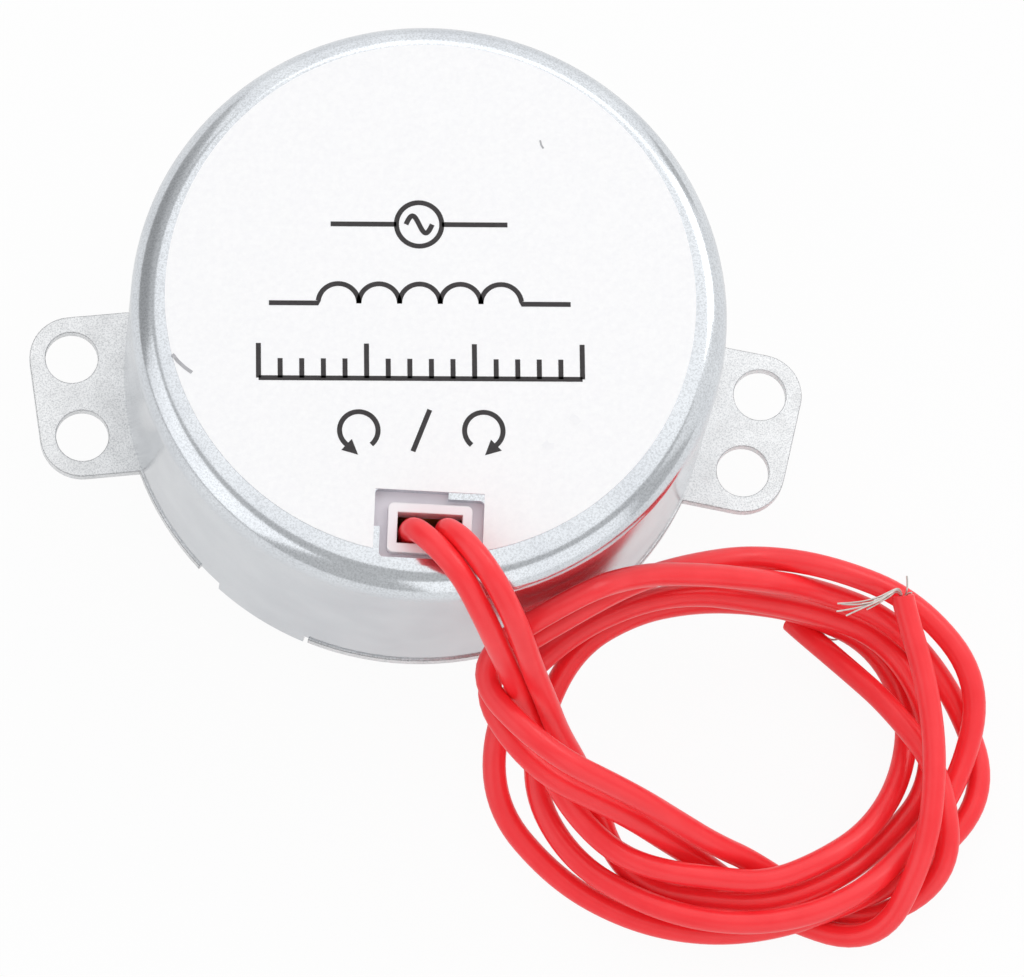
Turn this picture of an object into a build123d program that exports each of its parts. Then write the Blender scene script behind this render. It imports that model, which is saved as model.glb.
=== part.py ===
from build123d import *
import math
import os

os.makedirs("parts", exist_ok=True)

# Geared permanent-magnet synchronous motor in a drawn steel can.
# Frame: +Z towards the label, -Y towards the lead window, origin on the shaft axis
# at the mounting face of the two ears. The output shaft points down. Millimetres and degrees.

# Can
CAN_OD = 50.0
CAN_WALL = 0.8
CAN_TOP = 22.4
CAN_EDGE_R = 2.5
TAB_ANGLES = (60, 120, 240, 300)
TAB_SPAN = 19.6
TAB_FOLD = 2.6

# Lead window in the can's face
WINDOW_X = 0.6
WINDOW_INSET = 6.0
WINDOW_W = 9.1
WINDOW_H = 5.8
WINDOW_CORNER_R = 0.4
WINDOW_STEP_W = 3.0
WINDOW_STEP_H = 0.6
WINDOW_SIDE_STEP_W = 0.5
WINDOW_SIDE_STEP_H = 2.6

# Label
LABEL_MARGIN = 0.3
LABEL_T = 0.1
LABEL_SHIFT_Y = 0.6

# Front plate with ears
PLATE_T = 1.0
PLATE_LIP = 0.15
NOTCH_WIDE_SPAN = 5.2
NOTCH_NARROW_SPAN = 1.0
NOTCH_DEPTH = 1.3
EAR_UPPER_OUT = 4.5
EAR_LOWER_OUT = 3.25
EAR_LOWER_Y = -6.85
EAR_HOLE_D = 4.5
EAR_RIM = 1.35
EAR_ROOT_IN = 5.0
EAR_ROOT_UPPER_Y = 1.4
EAR_ROOT_LOWER_Y = -5.6

# Stator
POLE_COUNT = 12
CLAW_TIP_GAP = 3.6
CLAW_ROOT_W = 2.6
CLAW_TIP_W = 1.3
CLAW_BOBBIN_GAP = 0.4
CLAW_SLOT_GAP = 0.2
CLAW_SLOT_END_R = 4.8
POLE_PLATE_Z = 10.0
POLE_PLATE_T = 1.0
POLE_PLATE_BORE_R = 3.85
POLE_PLATE_GAP = 0.05
BOBBIN_WALL = 0.8
BOBBIN_FLANGE_T = 1.0
BOBBIN_CAN_GAP = 1.9
WINDING_CAN_GAP = 6.7
WINDING_BUILD = 3.5
TAPE_T = 0.2

# Lead outlet in the window
OUTLET_X = 0.7
OUTLET_BELOW_WINDOW = 0.3
OUTLET_RIM = 0.8
OUTLET_SIDE_PLAY = 1.4
OUTLET_PLAY = 0.65
OUTLET_BELOW_FACE = 0.1
OUTLET_CORNER_R = 0.5

# Rotor
SPINDLE_R = 0.75
AIR_GAP = 0.5
MAGNET_WALL = 3.5
MAGNET_LOW_GAP = 1.6
MAGNET_HIGH_GAP = 2.0
HUB_R = 2.2
HUB_WEB_T = 3.0
HUB_TOP_GAP = 0.1
WASHER_T = 0.5
WASHER_R = 2.5
BORE_GAP = 0.05

# Gear train
MODULE = 0.5
PRESSURE_ANGLE = 20.0
PINION_TEETH = 12
WHEEL_TEETH = 30
OUTPUT_TEETH = 32
PINION_SHIFT_SHARE = 0.3
DEDENDUM_SHARE = 1.25
FLANK_GAP = 0.08
GEAR_PIN_R = 0.75
GEAR_PIN_END_GAP = 0.2
GEAR_HUB_R = 1.5
GEAR_END_GAP = 0.1
FIRST_GEAR_ANGLE = 90.0
WHEEL_T = 1.6
PINION_T = 2.2
LAST_PINION_T = 2.6
WHEEL_SPACE = 0.3
OUTPUT_GEAR_T = 2.0
OUTPUT_GEAR_GAP = 0.4
TRAIN_STEP = 2.2
WEB_RECESS = 0.4
WEB_RIM = 1.0
POST_INSET = 3.0
POST_R = 1.8
POST_SPIGOT_R = 1.2
POST_ANGLES = (25, 215, 325)

# Output
SHAFT_R = 3.5
JOURNAL_R = 4.0
SHAFT_REACH = 10.0
JOURNAL_BELOW_BUSH = 0.4
SHAFT_FLAT = 3.0
SHAFT_TIP_CHAMFER = 0.4
SHAFT_PILOT_R = 0.85
SHAFT_PILOT_DEPTH = 2.0
SPINDLE_IN_PILOT = 1.6
BUSH_R = 5.0
BUSH_BELOW = 1.6
BUSH_COLLAR_R = 6.4
BUSH_RUNNING_GAP = 0.03
THRUST_WASHER_R = 5.8
THRUST_WASHER_T = 0.4
THRUST_END_GAP = 0.1

# Leads
WIRE_D = 2.0
TERMINAL_R = 0.5
COIL_CENTRE = (27.3, -10.7)
COIL_START_ANGLE = 265.0
COIL_STEP_ANGLE = 45.0
STRAND_R = 0.4
STRAND_LENGTH = 4.5
LEAST_GAP = 0.4
ARC_SHARE = 0.45

# Leads are placed from the outlet's centre, level with the can's face. Each route runs from
# its terminal out of the window and over the can's edge.
LEAD_A_ROUTE = (
    (-1.65, 0, -4), (-1.65, 0, -1.4), (-1.3, -0.3, 1.2), (0.5, -2.1, 2.6),
    (2.7, -4.4, 2.3), (4.6, -6.9, -0.2), (6.2, -8.6, -4.2), (7.6, -9.8, -8.4),
    (9, -11.1, -12.5), (10.3, -12.9, -16.2), (11.9, -15.6, -19.2), (14.4, -18.6, -21.4),
    (17.7, -21.2, -22.8),
)
LEAD_B_ROUTE = (
    (1.5, 0.1, -4), (1.5, 0.1, -1.4), (1.8, -0.2, 1.2), (3.6, -1.7, 2.8),
    (5.6, -4.1, 2.6), (7.4, -6.6, 0.3), (8.8, -8.3, -3.5), (10, -9.8, -7.5),
    (11.3, -11.3, -11.5), (12.6, -12.9, -15.4), (14.4, -14.6, -19.2), (16.2, -17.1, -22.9),
    (17.7, -20.4, -25.4),
)
# Radius about the coil's centre and height, at every eighth of a turn of each lead's loops
LEAD_A_RADII = (
    12.6, 12.6, 14.9, 15.5, 13.6, 13.5, 16.1, 16.9,
    16.1, 15.8, 19.2, 19.5, 15.6, 11.1, 20.4, 14.0,
    9.4, 20.6, 18.1, 16.8,
)
LEAD_A_HEIGHTS = (
    -23.4, -24.2, -28.4, -30, -27.8, -24.8, -23.4, -23,
    -22.8, -24.6, -25.7, -22, -18.1, -13.9, -15.1, -18.3,
    -28.8, -28.2, -21.1, -17.4,
)
LEAD_B_RADII = (
    14.2, 14.1, 17.4, 17.6, 12.3, 13.0, 19.0, 18.9,
    16.9, 16.9, 22.2, 17.6, 13.0, 10.0, 20.9, 12.8,
    8.1, 16.0, 19.1, 11.8, 10.7,
)
LEAD_B_HEIGHTS = (
    -25.6, -26.6, -30.3, -28.5, -23.7, -21.1, -22.3, -24.7,
    -25.3, -26.9, -27.5, -24.5, -16, -10.2, -12.5, -15.6,
    -23.6, -30.1, -28.4, -25.8, -25.9,
)

OVERRUN = 1.0

# Derived sizes
CAN_R = CAN_OD / 2
CAN_INNER_R = CAN_R - CAN_WALL
CAN_INNER_TOP = CAN_TOP - CAN_WALL
LABEL_R = CAN_R - CAN_EDGE_R - LABEL_MARGIN
WINDOW_Y = WINDOW_INSET - CAN_R
OUTLET_Y = WINDOW_Y - OUTLET_BELOW_WINDOW
OUTLET_HOLE_W = 2 * WIRE_D + OUTLET_SIDE_PLAY
OUTLET_HOLE_H = WIRE_D + OUTLET_PLAY
OUTLET_W = OUTLET_HOLE_W + 2 * OUTLET_RIM
OUTLET_H = OUTLET_HOLE_H + 2 * OUTLET_RIM
EAR_R = EAR_HOLE_D / 2 + EAR_RIM
EAR_UPPER_X = CAN_R + EAR_UPPER_OUT
EAR_LOWER_X = CAN_R + EAR_LOWER_OUT
EAR_ROOT_X = CAN_R - EAR_ROOT_IN
POLE_PLATE_TOP = POLE_PLATE_Z + POLE_PLATE_T
STATOR_H = CAN_INNER_TOP - POLE_PLATE_TOP
WINDING_OUTER_R = CAN_INNER_R - WINDING_CAN_GAP
BOBBIN_OUTER_R = WINDING_OUTER_R - WINDING_BUILD
BOBBIN_INNER_R = BOBBIN_OUTER_R - BOBBIN_WALL
BOBBIN_FLANGE_R = CAN_INNER_R - BOBBIN_CAN_GAP
WINDING_LOW = POLE_PLATE_TOP + BOBBIN_FLANGE_T
WINDING_HIGH = CAN_INNER_TOP - BOBBIN_FLANGE_T
CLAW_INNER_R = BOBBIN_INNER_R - CLAW_BOBBIN_GAP - CAN_WALL
CLAW_LENGTH = STATOR_H - CLAW_TIP_GAP
MAGNET_OUTER_R = CLAW_INNER_R - AIR_GAP
MAGNET_INNER_R = MAGNET_OUTER_R - MAGNET_WALL
MAGNET_Z = POLE_PLATE_TOP + MAGNET_LOW_GAP
MAGNET_H = STATOR_H - MAGNET_LOW_GAP - MAGNET_HIGH_GAP
POST_RING_R = CAN_INNER_R - POST_INSET
PINION_R = MODULE * PINION_TEETH / 2
WHEEL_R = MODULE * WHEEL_TEETH / 2
OUTPUT_R = MODULE * OUTPUT_TEETH / 2
STAGE_CENTRES = PINION_R + WHEEL_R
OUTPUT_CENTRES = PINION_R + OUTPUT_R
SECOND_GEAR_TURN = math.degrees(math.acos(OUTPUT_CENTRES / (2 * STAGE_CENTRES)))
SECOND_GEAR_ANGLE = FIRST_GEAR_ANGLE + SECOND_GEAR_TURN
ROTOR_PINION_TOP = POLE_PLATE_Z - GEAR_END_GAP
ROTOR_PINION_Z = ROTOR_PINION_TOP - PINION_T
FIRST_WHEEL_Z = ROTOR_PINION_TOP - WHEEL_T - WHEEL_SPACE
SECOND_WHEEL_Z = FIRST_WHEEL_Z - TRAIN_STEP
OUTPUT_GEAR_TOP = SECOND_WHEEL_Z - OUTPUT_GEAR_GAP
OUTPUT_GEAR_Z = OUTPUT_GEAR_TOP - OUTPUT_GEAR_T
THRUST_WASHER_Z = OUTPUT_GEAR_Z - THRUST_END_GAP - THRUST_WASHER_T
GEAR_HUB_LOW = PLATE_T + GEAR_END_GAP
SPINDLE_BOTTOM = OUTPUT_GEAR_TOP - SPINDLE_IN_PILOT
WASHER_Z = CAN_INNER_TOP - WASHER_T
LEAD_ORIGIN = Vector(OUTLET_X, OUTLET_Y, CAN_TOP)


def polar(radius, angle, z=0):
    """A point at a radius and an angle about the shaft axis."""
    return Vector(radius * math.cos(math.radians(angle)), radius * math.sin(math.radians(angle)), z)


def disc(radius, z_low, z_high, bore=0):
    """A round disc or ring on the shaft axis between two heights."""
    section = Circle(radius)
    if bore:
        section -= Circle(bore)
    return Pos(0, 0, z_low) * extrude(section, z_high - z_low)


def box_between(width, depth, z_low, z_high, x=0, y=0):
    """A block centred on x, y between two heights."""
    return Pos(x, y, z_low) * extrude(Rectangle(width, depth), z_high - z_low)


def claw_face(length, clearance=0):
    """One tapered claw seen flat, root on the X axis and tip up."""
    root = CLAW_ROOT_W / 2 + clearance
    tip = CLAW_TIP_W / 2 + clearance
    return make_face(Polyline((-root, 0), (root, 0), (tip, length), (-tip, length), close=True))


def claw(angle, root_z, upward):
    """One claw bent square out of its sheet, standing on the pole ring."""
    lean = 1 if upward else -1
    root = polar(CLAW_INNER_R, angle, root_z)
    plane = Plane(root, x_dir=polar(1, angle + 90 * lean), z_dir=polar(1, angle))
    return extrude(plane * claw_face(CLAW_LENGTH), CAN_WALL)


def claw_slot(angle, z_low, z_high):
    """The opening that a claw leaves in its sheet, running in from the pole ring."""
    root = polar(CLAW_INNER_R, angle, z_low - OVERRUN)
    plane = Plane(root, x_dir=polar(1, angle + 90), z_dir=(0, 0, 1))
    opening = claw_face(CLAW_INNER_R - CLAW_SLOT_END_R, CLAW_SLOT_GAP)
    return extrude(plane * opening, z_high - z_low + 2 * OVERRUN)


def ring_sector(inner, outer, z_low, z_high, middle, span):
    """Part of a ring about the shaft axis, centred on an angle."""
    low, high = middle - span / 2, middle + span / 2
    arc_in = ThreePointArc(polar(inner, low), polar(inner, middle), polar(inner, high))
    arc_out = ThreePointArc(polar(outer, high), polar(outer, middle), polar(outer, low))
    sides = [Line(arc_in @ 1, arc_out @ 0), Line(arc_out @ 1, arc_in @ 0)]
    return Pos(0, 0, z_low) * extrude(make_face([arc_in, sides[0], arc_out, sides[1]]), z_high - z_low)


def window_outline():
    """The lead window with its two small steps, as a flat face."""
    left, right = WINDOW_X - WINDOW_W / 2, WINDOW_X + WINDOW_W / 2
    low, high = WINDOW_Y - WINDOW_H / 2, WINDOW_Y + WINDOW_H / 2
    side_x = left + WINDOW_SIDE_STEP_W
    points = [
        (side_x, low), (right, low), (right, high - WINDOW_STEP_H),
        (right - WINDOW_STEP_W, high - WINDOW_STEP_H), (right - WINDOW_STEP_W, high),
        (left, high), (left, low + WINDOW_SIDE_STEP_H), (side_x, low + WINDOW_SIDE_STEP_H),
    ]
    face = make_face(Polyline(*points, close=True))
    outer = [v for v in face.vertices() if (v.X, v.Y) in (points[0], points[1], points[2], points[5])]
    return fillet(outer, WINDOW_CORNER_R)


def make_rear_can():
    """The drawn can: round edge, lanced claws, lead window and folded crimp tabs."""
    outer = disc(CAN_R, PLATE_T, CAN_TOP)
    outer = fillet(outer.edges().filter_by(GeomType.CIRCLE).sort_by(Axis.Z)[-1], CAN_EDGE_R)
    inner = disc(CAN_INNER_R, PLATE_T - OVERRUN, CAN_INNER_TOP)
    inner = fillet(inner.edges().filter_by(GeomType.CIRCLE).sort_by(Axis.Z)[-1], CAN_EDGE_R - CAN_WALL)
    can = outer - inner
    for number in range(POLE_COUNT):
        can -= claw_slot(number * 360 / POLE_COUNT, CAN_INNER_TOP, CAN_TOP)
    for number in range(POLE_COUNT):
        can += claw(number * 360 / POLE_COUNT, CAN_INNER_TOP, False)
    can -= disc(SPINDLE_R, CAN_INNER_TOP - OVERRUN, CAN_TOP + OVERRUN)
    can -= Pos(0, 0, CAN_INNER_TOP - OVERRUN) * extrude(window_outline(), CAN_WALL + 2 * OVERRUN)
    for angle in TAB_ANGLES:
        can += ring_sector(CAN_INNER_R, CAN_R, -CAN_WALL, PLATE_T, angle, TAB_SPAN)
        can += ring_sector(CAN_R - TAB_FOLD, CAN_R, -CAN_WALL, 0, angle, TAB_SPAN)
    return can


def make_rating_label():
    """The round paper label with the notch that leaves the window clear."""
    face = Pos(0, LABEL_SHIFT_Y) * Circle(LABEL_R)
    notch_top = WINDOW_Y + WINDOW_H / 2
    notch = Pos(WINDOW_X, notch_top - LABEL_R / 2) * Rectangle(WINDOW_W, LABEL_R)
    return Pos(0, 0, CAN_TOP) * extrude(face - notch, LABEL_T)


def ear_outline(side):
    """One ear: the hull of rims round its two holes, run in under the can."""
    centres = [
        (side * EAR_UPPER_X, 0), (side * EAR_LOWER_X, EAR_LOWER_Y),
        (side * EAR_ROOT_X, EAR_ROOT_UPPER_Y), (side * EAR_ROOT_X, EAR_ROOT_LOWER_Y),
    ]
    rims = [edge for centre in centres for edge in (Pos(*centre) * Circle(EAR_R)).edges()]
    return make_hull(rims)


def gear_centre(number):
    """The axis of the first or second compound gear."""
    if number == 1:
        return polar(STAGE_CENTRES, FIRST_GEAR_ANGLE)
    return polar(OUTPUT_CENTRES, SECOND_GEAR_ANGLE)


def make_front_plate():
    """The flat front plate: disc, two ears, crimp notches and pin holes."""
    rim = CAN_R + PLATE_LIP
    face = Circle(rim) + ear_outline(1) + ear_outline(-1)
    for side in (1, -1):
        face -= Pos(side * EAR_UPPER_X, 0) * Circle(EAR_HOLE_D / 2)
        face -= Pos(side * EAR_LOWER_X, EAR_LOWER_Y) * Circle(EAR_HOLE_D / 2)
    face -= Circle(BUSH_R)
    for number in (1, 2):
        face -= Pos(gear_centre(number)) * Circle(GEAR_PIN_R)
    for angle in POST_ANGLES:
        face -= Pos(polar(POST_RING_R, angle)) * Circle(POST_SPIGOT_R)
    plate = extrude(face, PLATE_T)
    cut = (rim + OVERRUN, -OVERRUN, PLATE_T + OVERRUN)
    for angle in TAB_ANGLES:
        plate -= ring_sector(CAN_INNER_R, *cut, angle, TAB_SPAN)
        for side, span in ((-1, NOTCH_WIDE_SPAN), (1, NOTCH_NARROW_SPAN)):
            plate -= ring_sector(CAN_R - NOTCH_DEPTH, *cut, angle + side * (TAB_SPAN + span) / 2, span)
    return plate


def make_plate_posts():
    """Shouldered posts that hold the pole plate off the front plate."""
    post = disc(POST_R, PLATE_T, POLE_PLATE_Z) + disc(POST_SPIGOT_R, 0, POLE_PLATE_TOP)
    return Compound([Pos(polar(POST_RING_R, angle)) * post for angle in POST_ANGLES])


def make_pole_plate():
    """The inner pole plate with its ring of claws between those of the can."""
    plate = disc(CAN_INNER_R - POLE_PLATE_GAP, POLE_PLATE_Z, POLE_PLATE_TOP, POLE_PLATE_BORE_R)
    half_pitch = 180 / POLE_COUNT
    for number in range(POLE_COUNT):
        plate -= claw_slot(number * 360 / POLE_COUNT + half_pitch, POLE_PLATE_Z, POLE_PLATE_TOP)
    for number in range(POLE_COUNT):
        plate += claw(number * 360 / POLE_COUNT + half_pitch, POLE_PLATE_TOP, True)
    cut = (POLE_PLATE_Z - OVERRUN, POLE_PLATE_TOP + OVERRUN)
    for number in (1, 2):
        plate -= Pos(gear_centre(number)) * disc(GEAR_PIN_R, *cut)
    for angle in POST_ANGLES:
        plate -= Pos(polar(POST_RING_R, angle)) * disc(POST_SPIGOT_R, *cut)
    return plate


def terminal_places():
    """Where the two leads end inside."""
    return [LEAD_ORIGIN + Vector(*route[0]) for route in (LEAD_A_ROUTE, LEAD_B_ROUTE)]


def make_coil_bobbin():
    """The nylon spool that carries the winding, open for the outlet and the terminals."""
    spool = disc(BOBBIN_OUTER_R, POLE_PLATE_TOP, CAN_INNER_TOP, BOBBIN_INNER_R)
    spool += disc(BOBBIN_FLANGE_R, POLE_PLATE_TOP, WINDING_LOW, BOBBIN_INNER_R)
    spool += disc(BOBBIN_FLANGE_R, WINDING_HIGH, CAN_INNER_TOP, BOBBIN_INNER_R)
    spool -= outlet_block(OUTLET_W, OUTLET_H, WINDING_HIGH - OVERRUN, CAN_INNER_TOP + OVERRUN)
    for place in terminal_places():
        spool -= Pos(place.X, place.Y) * disc(TERMINAL_R, POLE_PLATE_TOP - OVERRUN, WINDING_LOW + OVERRUN)
    return spool


def outlet_block(width, depth, z_low, z_high):
    """The outlet's rounded rectangle between two heights."""
    section = Pos(OUTLET_X, OUTLET_Y) * RectangleRounded(width, depth, OUTLET_CORNER_R)
    return Pos(0, 0, z_low) * extrude(section, z_high - z_low)


def make_lead_outlet():
    """The white frame that the leads come out through, set in the bobbin's flange."""
    z_low, z_high = WINDING_HIGH, CAN_TOP - OUTLET_BELOW_FACE
    hole = box_between(OUTLET_HOLE_W, OUTLET_HOLE_H, z_low - OVERRUN, z_high + OVERRUN, OUTLET_X, OUTLET_Y)
    return outlet_block(OUTLET_W, OUTLET_H, z_low, z_high) - hole


def make_terminal_pins():
    """Two pins in the lower flange that the leads end on."""
    places = terminal_places()
    return Compound([Pos(place.X, place.Y) * disc(TERMINAL_R, POLE_PLATE_TOP, place.Z) for place in places])


def tooth_sizes(teeth, shift_share):
    """Pitch, base, tip and root radius of a gear with profile shift."""
    pitch = MODULE * teeth / 2
    base = pitch * math.cos(math.radians(PRESSURE_ANGLE))
    tip = pitch + MODULE * (1 + shift_share)
    root = pitch - MODULE * (DEDENDUM_SHARE - shift_share)
    return pitch, base, tip, root


def involute(angle):
    """The involute function of an angle in radians."""
    return math.tan(angle) - angle


def gear_outline(teeth, shift_share, phase):
    """A spur gear's outline with involute flanks, thinned for running clearance."""
    pitch, base, tip, root = tooth_sizes(teeth, shift_share)
    alpha = math.radians(PRESSURE_ANGLE)
    half_pitch_angle = (math.pi / 2 + 2 * shift_share * math.tan(alpha)) / teeth - FLANK_GAP / (2 * pitch)

    def half_angle(radius):
        return math.degrees(half_pitch_angle + involute(alpha) - involute(math.acos(base / radius)))

    flank = [max(base, root), (base + tip) / 2, tip]
    edges = []
    pitch_angle = 360 / teeth
    for number in range(teeth):
        middle = phase + number * pitch_angle
        rise = [polar(radius, middle - half_angle(radius)) for radius in flank]
        fall = [polar(radius, middle + half_angle(radius)) for radius in reversed(flank)]
        low_angle = half_angle(flank[0])
        foot_in = polar(root, middle - low_angle)
        foot_out = polar(root, middle + low_angle)
        next_foot = polar(root, middle + pitch_angle - low_angle)
        edges.append(Edge.make_line(foot_in, rise[0]))
        edges.append(Edge.make_three_point_arc(*rise))
        edges.append(Edge.make_line(rise[2], fall[0]))
        edges.append(Edge.make_three_point_arc(*fall))
        edges.append(Edge.make_line(fall[2], foot_out))
        edges.append(Edge.make_line(foot_out, next_foot))
    return Face(Wire(edges))


def mesh_phase(teeth, centre, driver_teeth, driver_centre, driver_phase):
    """The angle of a tooth that sets a gear in mesh with its driver."""
    line = centre - driver_centre
    towards = math.degrees(math.atan2(line.Y, line.X))
    driver_pitch = 360 / driver_teeth
    offset = (driver_phase - towards) % driver_pitch
    gap_angle = towards + 180 - offset * driver_teeth / teeth
    return gap_angle + 180 / teeth


AXIS = Vector(0, 0, 0)
FIRST_CENTRE = gear_centre(1)
SECOND_CENTRE = gear_centre(2)
ROTOR_PHASE = 0
FIRST_PHASE = mesh_phase(WHEEL_TEETH, FIRST_CENTRE, PINION_TEETH, AXIS, ROTOR_PHASE)
SECOND_PHASE = mesh_phase(WHEEL_TEETH, SECOND_CENTRE, PINION_TEETH, FIRST_CENTRE, FIRST_PHASE)
OUTPUT_PHASE = mesh_phase(OUTPUT_TEETH, AXIS, PINION_TEETH, SECOND_CENTRE, SECOND_PHASE)


def spur(teeth, shift_share, phase, z_low, thickness):
    """A plain spur gear on the axis."""
    return Pos(0, 0, z_low) * extrude(gear_outline(teeth, shift_share, phase), thickness)


def wheel(teeth, phase, z_low, thickness, hub_r):
    """A wheel with a recessed web between its rim and its hub."""
    body = spur(teeth, -PINION_SHIFT_SHARE, phase, z_low, thickness)
    rim = tooth_sizes(teeth, -PINION_SHIFT_SHARE)[3] - WEB_RIM
    for face_z in (z_low, z_low + thickness - WEB_RECESS):
        body -= disc(rim, face_z, face_z + WEB_RECESS, hub_r)
    return body


def compound_gear(centre, phase, wheel_z, pinion_t):
    """A wheel and a pinion moulded in one on a hub that turns on its pin."""
    pinion_tip = tooth_sizes(PINION_TEETH, PINION_SHIFT_SHARE)[2]
    gear = wheel(WHEEL_TEETH, phase, wheel_z, WHEEL_T, pinion_tip)
    gear += spur(PINION_TEETH, PINION_SHIFT_SHARE, phase, wheel_z - pinion_t, pinion_t + WEB_RECESS)
    gear += disc(GEAR_HUB_R, GEAR_HUB_LOW, ROTOR_PINION_TOP)
    gear -= disc(GEAR_PIN_R + BORE_GAP, 0, POLE_PLATE_Z)
    return Pos(centre) * gear


def make_gear_pins():
    """Fixed pins between the plates that the compound gears turn on."""
    pin = disc(GEAR_PIN_R, 0, POLE_PLATE_TOP - GEAR_PIN_END_GAP)
    return Compound([Pos(centre) * pin for centre in (FIRST_CENTRE, SECOND_CENTRE)])


def make_output_gear():
    """The last wheel, pressed on the output shaft."""
    gear = wheel(OUTPUT_TEETH, OUTPUT_PHASE, OUTPUT_GEAR_Z, OUTPUT_GEAR_T, JOURNAL_R + WEB_RIM)
    return gear - disc(JOURNAL_R, OUTPUT_GEAR_Z - OVERRUN, OUTPUT_GEAR_TOP + OVERRUN)


def make_output_shaft():
    """The output shaft: journal, D-cut end with a tip chamfer, and a pilot bore for the spindle."""
    shoulder = -BUSH_BELOW - JOURNAL_BELOW_BUSH
    shaft = disc(SHAFT_R, -SHAFT_REACH, shoulder)
    shaft = chamfer(shaft.edges().filter_by(GeomType.CIRCLE).sort_by(Axis.Z)[0], SHAFT_TIP_CHAMFER)
    flat_depth = SHAFT_R - SHAFT_FLAT + OVERRUN
    flat_y = SHAFT_FLAT + flat_depth / 2
    shaft -= box_between(2 * SHAFT_R, flat_depth, -SHAFT_REACH - OVERRUN, shoulder + OVERRUN, 0, flat_y)
    shaft += disc(JOURNAL_R, shoulder, OUTPUT_GEAR_TOP)
    return shaft - disc(SHAFT_PILOT_R, OUTPUT_GEAR_TOP - SHAFT_PILOT_DEPTH, OUTPUT_GEAR_TOP + OVERRUN)


def make_output_bush():
    """The collared bush in the front plate that carries the output shaft."""
    bore = JOURNAL_R + BUSH_RUNNING_GAP
    bush = disc(BUSH_R, -BUSH_BELOW, THRUST_WASHER_Z, bore)
    return bush + disc(BUSH_COLLAR_R, PLATE_T, THRUST_WASHER_Z, bore)


def make_thrust_washer():
    """The washer between the bush and the output gear."""
    z_high = THRUST_WASHER_Z + THRUST_WASHER_T
    return disc(THRUST_WASHER_R, THRUST_WASHER_Z, z_high, JOURNAL_R + BORE_GAP)


def make_rotor_hub():
    """The moulded rotor hub: web in the magnet, tube on the spindle and drive pinion."""
    top = WASHER_Z - HUB_TOP_GAP
    web_z = MAGNET_Z + (MAGNET_H - HUB_WEB_T) / 2
    hub = disc(HUB_R, ROTOR_PINION_TOP, top) + disc(MAGNET_INNER_R, web_z, web_z + HUB_WEB_T)
    hub += spur(PINION_TEETH, PINION_SHIFT_SHARE, ROTOR_PHASE, ROTOR_PINION_Z, PINION_T)
    return hub - disc(SPINDLE_R + BORE_GAP, ROTOR_PINION_Z - OVERRUN, top + OVERRUN)


def loop_marks(radii, heights):
    """Points and directions at every eighth of a turn along a lead's loops."""
    points, directions = [], []
    step = math.radians(COIL_STEP_ANGLE)
    last = len(radii) - 1
    for mark, (radius, height) in enumerate(zip(radii, heights)):
        angle = COIL_START_ANGLE + mark * COIL_STEP_ANGLE
        before, after = max(mark - 1, 0), min(mark + 1, last)
        radial = (radii[after] - radii[before]) / ((after - before) * step)
        climb = (heights[after] - heights[before]) / ((after - before) * step)
        outward = polar(1, angle)
        points.append(LEAD_ORIGIN + Vector(*COIL_CENTRE, height) + outward * radius)
        direction = outward * radial + polar(1, angle + 90) * radius + Vector(0, 0, climb)
        directions.append(direction.normalized())
    return points, directions


def biarc(start, start_way, end, end_way):
    """Two tangent arcs from one point and direction to the next."""
    chord = end - start
    square = 2 * (1 - start_way.dot(end_way))
    middle = 2 * chord.dot(start_way + end_way)
    reach = (-middle + math.sqrt(middle * middle + 4 * square * chord.dot(chord))) / (2 * square)
    joint = (start + end + (start_way - end_way) * reach) * 0.5
    joint_way = (end - end_way * reach) - (start + start_way * reach)
    return [Edge.make_tangent_arc(start, start_way, joint), Edge.make_tangent_arc(joint, joint_way, end)]


def loop_path(radii, heights):
    """The line of a lead's loops, straight for one diameter at each end."""
    points, directions = loop_marks(radii, heights)
    first = points[0] - directions[0] * WIRE_D
    last = points[-1] + directions[-1] * WIRE_D
    edges = [Edge.make_line(first, points[0])]
    for mark in range(len(points) - 1):
        edges += biarc(points[mark], directions[mark], points[mark + 1], directions[mark + 1])
    edges.append(Edge.make_line(points[-1], last))
    return Wire(edges)


def tube(path, name):
    """A round wire swept along a path, with its volume set against its length."""
    body = sweep(Plane(path @ 0, z_dir=path % 0) * Circle(WIRE_D / 2), path=path)
    expected = math.pi * (WIRE_D / 2) ** 2 * path.length
    print(f"{name}: length {path.length:.1f}, volume share {body.volume / expected:.4f}")
    return body


def run_path(route, coil):
    """A lead's free run: arcs as large as the runs allow, ending square on its loops."""
    joint, way = coil @ 0, coil % 0
    points = [LEAD_ORIGIN + Vector(*point) for point in route] + [joint - way * (2 * WIRE_D), joint]
    radii = []
    for before, corner, after in zip(points, points[1:], points[2:]):
        turn = (corner - before).get_angle(after - corner)
        shorter = min((corner - before).length, (after - corner).length)
        radii.append(ARC_SHARE * shorter / math.tan(math.radians(turn) / 2))
    print("arc radii", [round(radius, 1) for radius in radii])
    return Wire(FilletPolyline(*points, radius=radii).edges())


def least_gap(first, second, same):
    """The least gap between two wires' surfaces, measured on points along them."""
    spacing = WIRE_D / 2
    lines = [[path @ (i / int(path.length / spacing)) for i in range(int(path.length / spacing) + 1)]
             for path in (first, second)]
    skip = int(math.pi * WIRE_D / spacing)
    gaps = [(p - q).length - WIRE_D for i, p in enumerate(lines[0]) for j, q in enumerate(lines[1])
            if not same or j - i > skip]
    return min(gaps)


def strand_bundle(coil):
    """The stripped conductor that stands out of a lead's cut end."""
    return extrude(Plane(coil @ 1, z_dir=coil % 1) * Circle(STRAND_R), STRAND_LENGTH)


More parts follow.
